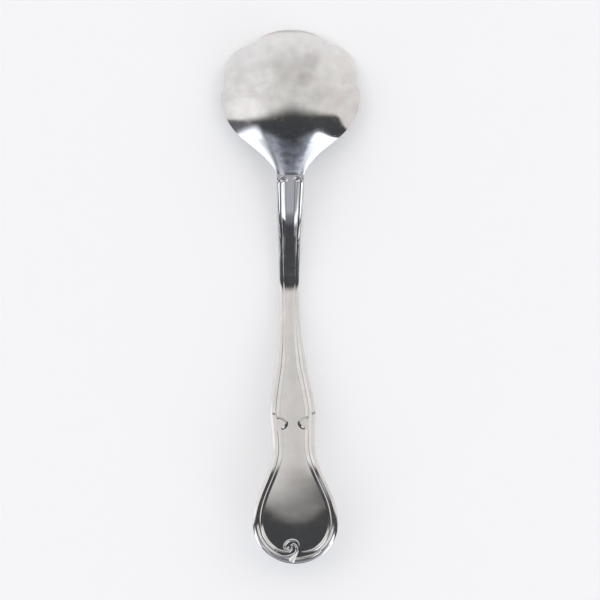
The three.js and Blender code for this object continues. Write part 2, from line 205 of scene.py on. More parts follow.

# Scroll pieces, each with its cords as (curve, half widths spread evenly along it). A pair has its mirror
# image too. The rise is the height per half width. Painted shade darkens each cord's sides up to a share of
# its height, and a painted highlight, where set, whitens the rest.
SCROLL_PIECES = (
    {
        "name": "end_scroll",
        "cords": (
            (END_CREST, (0.08, 0.3, 0.4, 0.42, 0.4, 0.36, 0.34)),
            (END_INNER, (0.2, 0.4, 0.38, 0.3, 0.26)),
            (END_OUTER, (0.06, 0.36, 0.46, 0.4, 0.28)),
            (END_INNER_RIGHT, (0.12, 0.36, 0.42, 0.2)),
            (END_OUTER_RIGHT, (0.12, 0.4, 0.4, 0.06)),
        ),
        "pair": False, "rise": 0.8, "soil_top": 0.5, "painted_highlight": 0.0,
    },
    {
        "name": "shoulder_scrolls",
        "cords": ((SHOULDER_SCROLL, (0.16, 0.26, 0.32, 0.3)),),
        "pair": True, "rise": 1.1, "soil_top": 1.05, "painted_highlight": 0.0,
    },
    # Painted shadows: low cords painted wholly dark under the shoulder scrolls
    {
        "name": "shoulder_painted_shadows",
        "cords": ((SHOULDER_SHADOW, (0.2, 0.4, 0.46, 0.3)),),
        "pair": True, "rise": 0.4, "soil_top": 9.0, "painted_highlight": 0.0,
    },
    # Painted highlights: small cords whitened on top beside the shoulder scrolls
    {
        "name": "shoulder_painted_highlights",
        "cords": ((SHOULDER_HIGHLIGHT, (0.16, 0.26, 0.2)),),
        "pair": True, "rise": 1.3, "soil_top": 0.6, "painted_highlight": 1.0,
    },
    {
        "name": "neck_curls",
        "cords": ((NECK_CURL, (0.24, 0.34, 0.36, 0.32)),),
        "pair": True, "rise": 0.8, "soil_top": 0.5, "painted_highlight": 0.0,
    },
    # The end leaf is whitened on top as a painted highlight
    {
        "name": "end_leaf",
        "cords": ((END_LEAF, (0.1, 0.4, 0.75, 0.95)),),
        "pair": False, "rise": 0.45, "soil_top": 0.3, "painted_highlight": 1.0,
    },
)

# Power that rounds a cord's ends off, and the share of the shaded height from which its painted shade fades
CORD_END_POWER = 14
SHADE_FADES_FROM = 0.25

# Rows and rings of the meshes, the angle from which an edge is sharp, and merging distances in metres
TIP_LOBE_ROWS = 60
UPPER_LOBE_ROWS = 60
BOWL_CURVE_ROWS = (16, 50, 50)
NECK_ROWS = 31
BACK_RINGS = 80
CAVITY_RINGS = 50
HANDLE_ROWS = (80, 80, 66, 84)
END_ROWS = 140
BORDER_RINGS = (5, 8, 10, 8, 10, 2)
PANEL_RINGS = 10
CORD_STEPS = 10
CORD_SIDES = 24
SHARP_ANGLE = math.radians(35)
MERGE_WITHIN = 1e-7
NO_AREA_WITHIN = 1e-8

# Steel: tints, the white of painted highlights and the share of the light that each piece returns
STEEL_ROSY = (0.598, 0.585, 0.58, 1.0)
STEEL_GREENISH = (0.585, 0.591, 0.583, 1.0)
STEEL_LAVENDER = (0.585, 0.6, 0.66, 1.0)
PAINTED_HIGHLIGHT_COLOUR = (0.95, 0.95, 0.95, 1.0)
NO_LIGHT = (0.0, 0.0, 0.0, 1.0)
HANDLE_LUSTRE = 1.0
BOWL_LUSTRE = 0.93

# Noise on the steel: scale per metre and detail, then a further scale per axis and a turn in radians where
# it has a direction. A span is the part of the noise's range over which a mark comes in.
NOISE_ROUGHNESS = 0.55
BLOTCH_NOISE = (240.0, 3.0)
SMUDGE_NOISE = (120.0, 2.0)
SMUDGE_SPAN = (0.5, 0.72)
MOTTLE_NOISE = (520.0, 4.0, (0.7, 1.0, 1.0))
MOTTLE_SPAN = (0.4, 0.66)
STAIN_NOISE = (640.0, 4.0, (0.55, 1.0, 1.0), 0.2)
STAIN_SPAN = (0.42, 0.64)
WIPING_NOISE = (2600.0, 2.0, (1.0, 0.08, 1.0))
SCRATCH_NOISE = (5200.0, 1.0, (1.0, 0.03, 0.4))
SCRATCH_SPAN = (0.66, 0.74)
SLANTED_NOISE = (4200.0, 1.0, (0.04, 1.0, 0.4), 0.55)
SLANTED_SPAN = (0.67, 0.74)
GRAIN_NOISE = (3800.0, 3.0)
TINT_NOISE = (170.0, 2.0)
TINT_SPAN = (0.36, 0.64)
WAVE_NOISE = (210.0, 1.0)

# What the marks do: shares of the light that is returned and lost, the mottling of unworn steel, the
# lavender tint of worn steel, the roughness that each mark adds, and heights of the bump in micrometres
CLEAN_LIGHT = 0.88
BLOTCH_LIGHT = 0.2
SCRATCH_LOSS = 0.03
MOTTLE_LOSS = 0.05
STAIN_LOSS = 0.32
# Share of the light taken away where the painted shade is full
PAINTED_SHADE_LOSS = 0.85
UNWORN_MOTTLE = 0.25
WORN_TINT = 0.8
POLISH_ROUGHNESS = 0.055
SMUDGE_ROUGHNESS = 0.05
MOTTLE_ROUGHNESS = 0.13
WIPING_ROUGHNESS = 0.04
SCRATCH_ROUGHNESS = 0.1
PAINTED_SHADE_ROUGHNESS = 0.25
PAINTED_HIGHLIGHT_ROUGHNESS = 0.4
WAVE_HEIGHT = 9.0
GRAIN_HEIGHT = 0.16
WIPING_HEIGHT = 0.1
SCRATCH_DEPTH = 0.3

# Table: half width in metres, and paper that glows a little
FLOOR_HALF = 3.0
PAPER_COLOUR = (0.785, 0.783, 0.782, 1.0)
PAPER_GLOW_COLOUR = (0.96, 0.98, 1.0, 1.0)
PAPER_GLOW = 0.25
PAPER_ROUGHNESS = 0.9

# Light tent that the steel mirrors, in degrees from straight up, to the right and tipward. A pale room lies
# past an edge that bows toward the handle at the sides and gives way to a light on the far right. A pair is
# the start and end of a smooth step, a triple has its change first, and what ends in LEFT is a change on the
# left side only.
TENT_LEVEL = 1.23
LEAST_FLAT = 0.0001
LEFT_BLEND = (2.0, -2.0)
ROOM_EDGE_AT = 7.2
ROOM_EDGE_BOW = 0.22
ROOM_EDGE_BOW_LEFT = 0.07
ROOM_EDGE_ROUND = 10.0
ROOM_EDGE_BLUR = (-6.5, 8.0)
BLUR_FALL_ASIDE = 0.0125
LEAST_BLUR = 0.3
RIM_LIGHT_AT = 59.0
RIM_LIGHT_ROUND = 3.0
RIM_LIGHT_REACH = 0.85
HORIZON_LEVEL = 1.5
HORIZON_DIMMER_TIPWARD = 0.38
HORIZON_TILT = (79.0, 86.0)
COOL_LIGHT = (0.92, 0.955, 1.05, 1.0)
WARM_LIGHT = (1.02, 0.988, 0.966, 1.0)
WARM_FROM_EDGE = (-10.0, -1.0)
WARM_LOSS_TIPWARD = (0.2, 35.0, 85.0)
WARM_LOSS_LEFT = (0.2, 15.0, 45.0)

# The dark room on the handle's side: its level, its grey haze and its white panels
DARK_LEVEL = 0.077
DARK_STEP_LEFT = (0.1, 45.0, 62.0)
HAZE_STEPS = ((0.125, -12.0, -20.0), (0.05, -17.0, -25.0), (0.35, -25.5, -33.0))
HAZE_STEP_ASIDE = (0.27, 10.0, 36.0)
HAZE_ASIDE_RUN = (-10.0, -18.0)
HAZE_LOSS_LOW = (0.85, -38.0, -46.0)
HAZE_ENDS_ASIDE = (48.0, 36.0)
PANEL_LEVEL = 2.0
PANEL_TOP = -13.5
PANEL_TOP_AT = 36.0
PANEL_TOP_AT_LEFT = 7.0
PANEL_TOP_BOW = 0.035
PANEL_TOP_BOW_LEFT = 0.007
PANEL_TOP_BLUR = (1.0, 5.0)
PANEL_TOP_BLUR_LEFT = (8.0, 1.0)
PANEL_INNER_BLUR = (31.0, 42.0)
PANEL_INNER_LEFT = 8.0
PANEL_OUTWARD = 13.0
PANEL_OUTWARD_LEFT = 4.0
PANEL_OUTWARD_RUN = (-24.0, -38.0)
PANEL_BACK_IN = (25.0, -36.0, -46.0)

# The pale room: its level, its brighter left and far end, its clouds, and its bright and dark spots, as
# degrees to the right and tipward, half sizes and change
PALE_LEVEL = 0.93
PALE_STEP_LEFT = (0.1, 10.0, 50.0)
PALE_STEPS = ((0.09, 45.0, 70.0), (0.09, 62.0, 92.0))
CLOUD_SCALE = 7.0
CLOUD_DETAIL = 4.0
CLOUD_DARKEST = 0.8
CLOUD_DEPTH = 0.4
ROOM_SPOTS = (
    (-52.0, 2.0, 24.0, 18.0, 0.24),
    (55.0, 45.0, 30.0, 30.0, 0.08),
    (6.0, 48.0, 34.0, 34.0, -0.13),
    (14.0, 15.0, 30.0, 12.0, -0.1),
    (24.0, 62.0, 14.0, 12.0, -0.12),
    (18.0, 40.0, 12.0, 12.0, -0.11),
    (43.0, 22.0, 18.0, 10.0, -0.1),
    (-34.0, 36.0, 20.0, 18.0, 0.07),
    (-22.0, 59.0, 16.0, 10.0, -0.1),
)

# Camera straight above, in metres and radians: its place, its turn and the field that it sees at mid height
CAMERA_AT = (0.0020, -0.0012, 1.4)
CAMERA_TURN = -0.0117
FIELD = 0.1709
FIELD_HEIGHT = 0.005
SENSOR_WIDTH = 36.0

# Stations that follow from the lengths
side_notch_at = TIP_LOBE_LENGTH + UPPER_LOBE_LENGTH
widest_at = side_notch_at + LOWER_LOBE_RISE
flank_at = widest_at + LOWER_LOBE_FALL
neck_at = flank_at + FLANK_LENGTH
stem_at = neck_at + STEM_LENGTH
shoulder_at = stem_at + TAPER_LENGTH
waist_at = shoulder_at + WAIST_LENGTH
fan_at = waist_at + FLARE_LENGTH
spoon_length = fan_at + END_LENGTH
handle_length = spoon_length - neck_at
heel_length = neck_at - BOWL_CENTRE

# Angles round a cord's section
cord_turn = np.linspace(0.0, 2 * np.pi, CORD_SIDES + 1)


def mix(first, second, share):
    """Straight blend from the first value to the second."""
    return first + (second - first) * share


def ease(low, high, value):
    """Smooth step from 0 at low to 1 at high: three squares of the share less two cubes."""
    share = np.clip((value - low) / (high - low), 0.0, 1.0)
    return share * share * (3.0 - 2.0 * share)


def window(value, rise_from, rise_to, fall_from, fall_to):
    """Smooth step from 0 up to 1, then one down to 0 again."""
    return ease(rise_from, rise_to, value) * (1.0 - ease(fall_from, fall_to, value))


def bell(distance, width):
    """Bell curve: e to the minus square of the distance in widths, so 1 at no distance."""
    return np.exp(-((distance / width) ** 2))


def swept(turns, pulls, counts):
    """Cubic curves from each turning point to the next, without the last point.

    The pulls place both control points of each curve as shares of the way across and along."""
    turns = np.array(turns)
    curves = []
    for start, end, (leave, reach), count in zip(turns, turns[1:], np.array(pulls), counts):
        first = mix(start, end, leave)
        second = mix(start, end, reach)
        share = np.linspace(0.0, 1.0, count, endpoint=False)[:, None]
        back = 1.0 - share
        middle = 3 * back**2 * share * first + 3 * back * share**2 * second
        curves.append(back**3 * start + middle + share**3 * end)
    return np.vstack(curves)


def through(points, per_span):
    """Catmull-Rom curve through points, with the end tangents taken from the end chords."""
    points = np.array(points, dtype=float)
    padded = np.vstack([2 * points[0] - points[1], points, 2 * points[-1] - points[-2]])
    share = np.linspace(0.0, 1.0, per_span, endpoint=False)[:, None]
    spans = []
    for at in range(len(points) - 1):
        before, here, there, after = padded[at : at + 4]
        bend = 2 * before - 5 * here + 4 * there - after
        twist = 3 * here - before - 3 * there + after
        spans.append(here + 0.5 * ((there - before) * share + bend * share**2 + twist * share**3))
    return np.vstack([*spans, points[-1:]])


def arc_between(start, end, bulge, count):
    """Circular arc from start to end that stands out from its chord by the bulge, without its last point."""
    start, end = np.array(start), np.array(end)
    chord = np.linalg.norm(end - start)
    radius = chord**2 / (8 * bulge) + bulge / 2
    out = np.array([end[1] - start[1], start[0] - end[0]]) / chord
    centre = (start + end) / 2 + out * (bulge - radius)
    from_angle = math.atan2(start[1] - centre[1], start[0] - centre[0])
    to_angle = math.atan2(end[1] - centre[1], end[0] - centre[0])
    angle = np.linspace(from_angle, to_angle, count, endpoint=False)
    return centre + radius * np.column_stack([np.cos(angle), np.sin(angle)])


def on_spoon(x, station, height):
    """World points from plan and height, bowl toward +Y; the stem bows to the left by a squared sine."""
    share = np.clip((station - BOWL_CENTRE) / (fan_at - BOWL_CENTRE), 0.0, 1.0)
    bow = SIDE_BOW * np.sin(np.pi * share) ** 2
    return np.stack([x - bow, spoon_length / 2 - station, height], axis=-1)


def sheet_faces(rows, wide, closed):
    """Quads of a grid of rows; a closed one joins its last row to its first."""
    row, at = np.meshgrid(np.arange(rows if closed else rows - 1), np.arange(wide - 1), indexing="ij")
    here = (row * wide + at).ravel()
    there = (((row + 1) % rows) * wide + at).ravel()
    return np.column_stack([here, there, there + 1, here + 1])


def new_piece(name, points, faces, material, **marks):
    """A mesh object from points in millimetres; doubled points are merged and faces turned outward.

    The marks are named values per point that its material reads."""
    mesh = bpy.data.meshes.new(name)
    mesh.from_pydata(points * MM, [], faces.tolist())
    for mark, values in marks.items():
        attribute = mesh.attributes.new(mark, "FLOAT", "POINT")
        attribute.data.foreach_set("value", values.ravel().astype(np.float32))
    shape = bmesh.new()
    shape.from_mesh(mesh)
    bmesh.ops.remove_doubles(shape, verts=shape.verts, dist=MERGE_WITHIN)
    bmesh.ops.dissolve_degenerate(shape, edges=shape.edges, dist=NO_AREA_WITHIN)
    bmesh.ops.recalc_face_normals(shape, faces=shape.faces)
    shape.to_mesh(mesh)
    shape.free()
    mesh.shade_smooth()
    mesh.set_sharp_from_angle(angle=SHARP_ANGLE)
    mesh.materials.append(material)
    piece = bpy.data.objects.new(name, mesh)
    bpy.context.collection.objects.link(piece)
    return piece


def rise_over(station, start_share, end_share):
    """Rise of a bend per unit of slope: the integral of a smooth step over its stretch, then a line."""
    start = neck_at + start_share * handle_length
    span = (end_share - start_share) * handle_length
    share = np.clip((station - start) / span, 0.0, 1.0)
    return span * (share**3 - share**4 / 2) + np.maximum(0.0, station - start - span)


def underside(x, station):
    """Height of the handle's underside: the slope at the neck and the rise of each bend.

    Past the waist it sweeps back into a tongue by the square of the distance aside, and it twists."""
    along = station + END_SWEEP * ease(waist_at, waist_at + WAIST_LENGTH, station) * x**2
    height = NECK_RISE + NECK_SLOPE * (along - neck_at)
    for bend, start, end in BENDS:
        height = height + bend * rise_over(along, start, end)
    return height - END_TWIST * x * ease(waist_at + TWIST_AFTER_WAIST, fan_at - TWIST_BEFORE_FAN, station)


def handle_half_outline():
    """Right half of the handle's outline: curves between its turning points, then a quarter ellipse."""
    turns = (
        (COLLAR_WIDTH / 2, neck_at),
        (STEM_WIDTH / 2, stem_at),
        (SHOULDER_WIDTH / 2, shoulder_at),
        (WAIST_WIDTH / 2, waist_at),
        (END_WIDTH / 2, fan_at),
    )
    angle = np.linspace(0.0, np.pi / 2, END_ROWS)
    round_end = np.column_stack([END_WIDTH / 2 * np.cos(angle), fan_at + END_LENGTH * np.sin(angle)])
    return np.vstack([swept(turns, HANDLE_PULLS, HANDLE_ROWS), round_end])


handle_side = handle_half_outline()


def edge_share(x, station):
    """0 on the handle's middle line and 1 at its edge, growing with the square of the distance."""
    half = np.interp(np.minimum(station, fan_at), handle_side[:, 1], handle_side[:, 0])
    return (x / half) ** 2 + (np.maximum(0.0, station - fan_at) / END_LENGTH) ** 2


def back_face(x, station):
    """Height of the handle's back without its relief: the underside and the thickness, crowned across."""
    thick = mix(NECK_THICK, END_THICK, ease(stem_at, fan_at, station))
    crown = mix(NECK_CROWN, WAIST_CROWN, ease(neck_at, shoulder_at, station))
    return underside(x, station) + thick - crown * edge_share(x, station)


def inset_rings():
    """Insets of the border's rings, from the panel out to the edge: even steps between crests and groove."""
    turns = (0.0, EDGE_SHARE, OUTER_CREST, GROOVE_AT, INNER_CREST, 1.0, PANEL_FROM)
    spans = []
    for low, high, count in zip(turns, turns[1:], BORDER_RINGS):
        spans.append(np.linspace(low, high, count, endpoint=False))
    return np.append(np.concatenate(spans), PANEL_FROM)[::-1]


def ridge(value, low, crest, high):
    """Ridge that swells by a power from low to its crest, 1 high, and falls in a straight flank to high."""
    up = np.clip((value - low) / (crest - low), 0.0, 1.0)
    down = np.clip((value - crest) / (high - crest), 0.0, 1.0)
    return (1.0 - (1.0 - up) ** RIDGE_SWELL) * (1.0 - down)


def border_relief(inset, outer_share, inner_share):
    """Height of the border over the face: bevelled edge, outer ridge, groove and inner ridge."""
    edge = EDGE_DROP * np.clip(1.0 - inset / EDGE_SHARE, 0.0, 1.0) ** EDGE_ROUND
    outer = OUTER_HEIGHT * ridge(inset, 0.0, OUTER_CREST, GROOVE_AT)
    inner = INNER_HEIGHT * ridge(inset, GROOVE_AT, INNER_CREST, 1.0)
    return outer_share * outer + inner_share * inner - edge


def border_shares(x, station, round_turn):
    """Shares of the outer and the inner ridge's height: high by the neck, low on the stem, full at the end.

    Both start past the neck curls. Round the end the outer ridge gets flatter and the inner one stops at the
    end scroll; the inner one also pauses beside the shoulder scrolls."""
    past_curl = ease(neck_at + CURL_LENGTH, neck_at + CURL_LENGTH + CURL_RUN_OUT, station)
    to_stem, on_stem = NECK_TO_STEM_RELIEF
    height = mix(NECK_RELIEF, STEM_RELIEF, ease(stem_at + to_stem, stem_at + on_stem, station))
    end_height = mix(LEFT_RELIEF, RIGHT_RELIEF, ease(-LEFT_TO_RIGHT, LEFT_TO_RIGHT, x))
    height = mix(height, end_height, ease(stem_at, stem_at + STEM_TO_END_RELIEF, station))
    flatter = mix(1.0, END_OUTER_RELIEF, ease(*END_FLATTENS, round_turn))
    outer = past_curl * np.minimum(height, OUTER_RELIEF_LIMIT) * flatter
    before_end_scroll = 1.0 - ease(*END_SCROLL_STARTS, round_turn)
    clear_of_scroll = ease(*SCROLL_CLEAR, np.abs(station - SHOULDER_SCROLL_AT))
    inner = past_curl * height * before_end_scroll * clear_of_scroll
    return outer, inner


def shoulder_nick(x, station, inset):
    """Share of the nick's depth: a slanting bell along the handle, over part of the border's width."""
    along = bell(station - shoulder_at - NICK_AT - NICK_SLANT * inset, NICK_WIDTH)
    left = LEFT_NICK_DEPTH * window(inset, *LEFT_NICK)
    return along * np.where(x < 0, left, window(inset, *RIGHT_NICK))


def groove_soil(inset, station, reeding):
    """Share of painted shade: bells on the groove and the inner ridge's foot, least on the taper."""
    groove = bell(inset - GROOVE_AT, GROOVE_SHADE_WIDTH)
    foot = FOOT_SHADE * bell(inset - 1.0, FOOT_SHADE_WIDTH)
    less_shade_from, less_shade_to = (stem_at + distance for distance in LESS_SHADE_FROM_STEM)
    on_taper = window(station, less_shade_from, less_shade_to, waist_at, waist_at + LESS_SHADE_PAST_WAIST)
    return np.clip((groove + foot) * reeding * (1.0 - TAPER_LESS_SHADE * on_taper), 0.0, 1.0)


def make_handle(material):
    """Handle as rays from its middle line to its outline, over the back and in again along the front.

    The back is the crowned face plus the border's relief, less the nicks. The front is the underside with
    the same relief. By the neck the border's ridges crowd toward the edge, by a power of the inset."""
    left = handle_side[-2::-1] * np.array([-1.0, 1.0])
    edge = np.vstack([handle_side, left])
    root = np.column_stack([np.zeros(len(edge)), np.minimum(edge[:, 1], fan_at)])
    ray = edge - root
    length = np.linalg.norm(ray, axis=1)[:, None]
    border = np.minimum(BORDER_WIDTH, BORDER_SHARE * length)
    rings = 1.0 - inset_rings() * border / length
    panel = rings[:, :1] * np.linspace(0.0, 1.0, PANEL_RINGS, endpoint=False)
    share = np.hstack([panel, rings])
    inset = (1.0 - share) * length / border
    x = root[:, :1] + share * ray[:, :1]
    station = root[:, 1:] + share * ray[:, 1:]
    round_turn = np.arctan2(ray[:, 1:], np.abs(ray[:, :1]))

    outer_share, inner_share = border_shares(x, station, round_turn)
    nick = shoulder_nick(x, station, inset)
    across = inset ** mix(NECK_REEDING, 1.0, ease(neck_at + NECK_REEDING_LENGTH, stem_at, station))
    relief = border_relief(across, outer_share, inner_share) - NICK_DEPTH * nick
    # Painted shade in the groove, along the inner ridge's foot and in the nicks
    soil = np.maximum(groove_soil(across, station, np.clip(inner_share, 0.0, 1.0)), NICK_SHADE * nick)
    back = on_spoon(x, station, back_face(x, station) + relief)
    front = on_spoon(x, station, underside(x, station) - relief)
    grid = np.concatenate([back, front[:, ::-1]], axis=1)
    soil = np.concatenate([soil, soil[:, ::-1]], axis=1)

    wide = grid.shape[1]
    at = np.arange(wide // 2 - 1)
    first_end = np.column_stack([at, at + 1, wide - 2 - at, wide - 1 - at])
    last_end = first_end + (len(edge) - 1) * wide
    faces = np.vstack([sheet_faces(len(edge), wide, False), first_end, last_end])
    return new_piece("reeded_handle", grid.reshape(-1, 3), faces, material, soil=soil)


def cord_sheet(plan, widths, rise, face, side):
    """A raised cord along a plan curve on a face: an oval section that follows the face, with rounded ends.

    The widths are half widths spread evenly along the curve, rounded off at its ends by a superellipse. The
    rise is the height per half width."""
    path = through(plan, CORD_STEPS)
    along = np.linspace(0.0, 1.0, len(path))
    width = np.interp(along, np.linspace(0.0, 1.0, len(widths)), widths)
    round_ends = np.sqrt(np.clip(1.0 - (2.0 * along - 1.0) ** CORD_END_POWER, 0.0, 1.0))
    width = (width * round_ends)[:, None]
    tangent = np.gradient(path, axis=0)
    tangent = tangent / np.linalg.norm(tangent, axis=1)[:, None]
    x = path[:, :1] - tangent[:, 1:] * width * np.cos(cord_turn)
    station = path[:, 1:] + tangent[:, :1] * width * np.cos(cord_turn)
    height = face(x, station) + side * rise * width * np.sin(cord_turn)
    return on_spoon(x, station, height)


def make_scroll(material, name, cords, pair, rise, soil_top, painted_highlight):
    """One piece of cords on both faces of the handle; a pair has the cords' mirror images too.

    Painted shade darkens a cord's sides up to a share of its height. A cord with a painted highlight has
    negative values on its upper side, which whiten it."""
    if pair:
        cords = [*cords, *(([(-x, station) for x, station in plan], widths) for plan, widths in cords)]
    # Painted shade on each cord's sides below the shaded height, and a painted highlight above it where set
    around_soil = 1.0 - (1.0 + painted_highlight) * ease(SHADE_FADES_FROM * soil_top, soil_top, np.sin(cord_turn))
    points, faces, soil, count = [], [], [], 0
    for face, side in ((back_face, 1.0), (underside, -1.0)):
        for plan, widths in cords:
            grid = cord_sheet(plan, widths, rise, face, side)
            faces.append(sheet_faces(grid.shape[0], grid.shape[1], False) + count)
            points.append(grid.reshape(-1, 3))
            soil.append(np.tile(around_soil, grid.shape[0]))
            count += len(points[-1])
    return new_piece(name, np.vstack(points), np.vstack(faces), material, soil=np.concatenate(soil))


def bowl_outline():
    """Closed outline of the bowl: right half over its lobes and the flank, the cut at the neck, left half.

    The tip lobe is a quarter ellipse, the upper lobe an arc and the rest curves between turning points."""
    neck = NECK_WIDTH / 2
    tip_notch = (TIP_LOBE_WIDTH / 2, TIP_LOBE_LENGTH)
    side_notch = (SIDE_NOTCH_WIDTH / 2, side_notch_at)
    turns = (side_notch, (BOWL_WIDTH / 2, widest_at), (FLANK_WIDTH / 2, flank_at), (neck, neck_at))
    angle = np.linspace(-np.pi / 2, 0.0, TIP_LOBE_ROWS, endpoint=False)
    tip = np.column_stack([tip_notch[0] * np.cos(angle), TIP_LOBE_LENGTH * (1 + np.sin(angle))])
    upper = arc_between(tip_notch, side_notch, UPPER_LOBE_BULGE, UPPER_LOBE_ROWS)
    right = np.vstack([tip, upper, swept(turns, BOWL_PULLS, BOWL_CURVE_ROWS)])
    cut_x = np.linspace(neck, -neck, NECK_ROWS)
    cut = np.column_stack([cut_x, np.full_like(cut_x, neck_at)])
    left = right[:0:-1] * np.array([-1.0, 1.0])
    return np.vstack([right, cut, left])


def bowl_half_width(outline, station):
    """Half width of the bowl past its centre, read off its right-hand outline."""
    right = outline[: len(outline) // 2]
    right = right[right[:, 1] >= BOWL_CENTRE]
    return np.interp(station, right[:, 1], right[:, 0])


def heel_lift(past):
    """Extra height of the edge at a share of the way from the bowl's centre to the neck.

    It is the share's cube times what the cube lacks to 1, so none at both ends, and scaled to its peak."""
    return 4.0 * HEEL_LIFT * past**3 * (1.0 - past**3)


def bowl_marks(outline, grid):
    """Painted shade in the line at the neck, and wear on the middle of the heel, for each point of the bowl.
    """
    aside = np.abs(grid[..., 0])
    station = spoon_length / 2 - grid[..., 1]
    line_from, line_full = NECK_LINE_RUN
    # Painted shade in the line where the bowl meets the neck
    soil = NECK_LINE_SHADE * ease(neck_at + line_from, neck_at + line_full, station)
    soil = soil * (1.0 - ease(*NECK_LINE_ASIDE, aside))
    half = bowl_half_width(outline, station)
    wear = ease(*HEEL_WEAR, station) * (1.0 - ease(*HEEL_WEAR_ASIDE, aside / half))
    return soil, wear


def make_bowl(material):
    """Bowl as spokes from its centre: out over the back, round the edge, across the rim, in over the cavity.

    Toward the tip the back is a smooth dome over an ellipse, from which the lobes and notches are cut.
    Toward the neck each cross-section is an arch between the height on the middle line, which falls in one
    sweep to the neck, and the height of the edge."""
    outline = bowl_outline()
    run = outline - np.array([0.0, BOWL_CENTRE])
    reach = np.linalg.norm(run, axis=1)[:, None]
    around = run / reach
    heelward = around[:, 1:] > 0
    oval = 1.0 / np.hypot(around[:, :1] / (BOWL_WIDTH / 2), around[:, 1:] / BOWL_CENTRE)
    mouth_slope = NECK_RISE / neck_at

    def arch(distance, land, middle, edge, end_slope):
        """Height over the mouth plane at a distance along each spoke.

        The middle line and the edge have a height at the centre and one at the neck; the land is the flat
        width of the rim. The middle falls by an even polynomial, level at the centre and with the end slope
        at the neck. The edge climbs by a smooth step and the heel's lift. Across, the height falls from the
        middle to the edge by a power of the share of the way out."""
        past = np.clip(distance * around[:, 1:] / (heel_length - land), 0.0, 1.0)
        fall = 1 - (2 - end_slope / 2) * past**2 + (1 - end_slope / 2) * past**4
        top = mix(middle[1], middle[0], fall)
        side = mix(edge[0], edge[1], ease(EDGE_CLIMB_FROM, 1.0, past)) + heel_lift(past)
        half = bowl_half_width(outline, BOWL_CENTRE + past * heel_length) - land
        out = np.where(heelward, np.abs(distance * around[:, :1]) / half, distance / (oval - land))
        return side + (top - side) * (1 - np.clip(out, 0.0, LOBE_REACH) ** DOME_POWER)

    def place(distance, height):
        """World points at a distance along each spoke and a height over the sloping mouth plane."""
        station = BOWL_CENTRE + distance * around[:, 1:]
        mouth = NECK_RISE + mouth_slope * (station - neck_at)
        return on_spoon(distance * around[:, :1], station, mouth + height)

    neck_top = NECK_THICK - NECK_STEP
    back_end_slope = (mouth_slope - NECK_SLOPE) * heel_length / (BOWL_DEPTH - neck_top)
    back_at = reach * np.sin(np.linspace(0.0, np.pi / 2, BACK_RINGS))
    back_edge = (RIM_EDGE, neck_top - NECK_ROUND)
    back_height = arch(back_at, 0.0, (BOWL_DEPTH, neck_top), back_edge, back_end_slope)
    past_rim = np.clip(run[:, 1:] / heel_length, 0.0, 1.0)
    rim_height = np.where(heelward, heel_lift(past_rim), back_height[:, -1:] - RIM_EDGE)
    cavity_at = (reach - RIM_LAND) * np.sin(np.linspace(np.pi / 2, 0.0, CAVITY_RINGS))
    cavity_middle = (BOWL_DEPTH - BOWL_WALL, 0.0)
    cavity_height = arch(cavity_at, RIM_LAND, cavity_middle, (0.0, 0.0), CAVITY_END_SLOPE)
    sheets = [place(back_at, back_height), place(reach, rim_height), place(cavity_at, cavity_height)]
    grid = np.concatenate(sheets, axis=1)
    faces = sheet_faces(len(outline), grid.shape[1], True)
    soil, wear = bowl_marks(outline, grid)
    return new_piece("shell_bowl_polished", grid.reshape(-1, 3), faces, material, soil=soil, wear=wear)


class Shade:
    """A value in a node tree that can be reckoned with like a number."""

    def __init__(self, tree, socket=None):
        self.tree = tree
        self.socket = socket

    def node(self, kind, settings, values, output=0):
        """Any other node: its settings, its socket values or links, and the output to go on with."""
        made = self.tree.nodes.new(kind)
        for name, value in settings.items():
            setattr(made, name, value)
        for name, value in values.items():
            socket = made.inputs[name] if isinstance(name, int) else self.enabled(made.inputs, name)
            if isinstance(value, Shade):
                self.tree.links.new(value.socket, socket)
            else:
                socket.default_value = value
        socket = made.outputs[output] if isinstance(output, int) else self.enabled(made.outputs, output)
        return Shade(self.tree, socket)

    @staticmethod
    def enabled(sockets, name):
        """The socket in use under a name: a Mix node has sockets of every type under one name."""
        return next(socket for socket in sockets if socket.name == name and socket.enabled)

    def math(self, operation, *values):
        """A Math node on this value and others."""
        return self.node("ShaderNodeMath", {"operation": operation}, dict(enumerate((self, *values))))

    def ramp(self, low, high):
        """Smooth step from 0 at low to 1 at high."""
        values = {"Value": self, "From Min": low, "From Max": high}
        return self.node("ShaderNodeMapRange", {"interpolation_type": "SMOOTHSTEP"}, values)

    def step(self, change, start, end):
        """Smooth step from 0 at the start to a change at the end."""
        return change * self.ramp(start, end)

    def blend(self, first, second):
        """Colour that goes from the first to the second as this value goes from 0 to 1."""
        values = {"Factor": self, "A": first, "B": second}
        return self.node("ShaderNodeMix", {"data_type": "RGBA"}, values, "Result")

    def __add__(self, other):
        return self.math("ADD", other)

    def __sub__(self, other):
        return self.math("SUBTRACT", other)

    def __rsub__(self, other):
        return self.node("ShaderNodeMath", {"operation": "SUBTRACT"}, {0: other, 1: self})

    def __mul__(self, other):
        return self.math("MULTIPLY", other)

    def __truediv__(self, other):
        return self.math("DIVIDE", other)

    __radd__ = __add__
    __rmul__ = __mul__


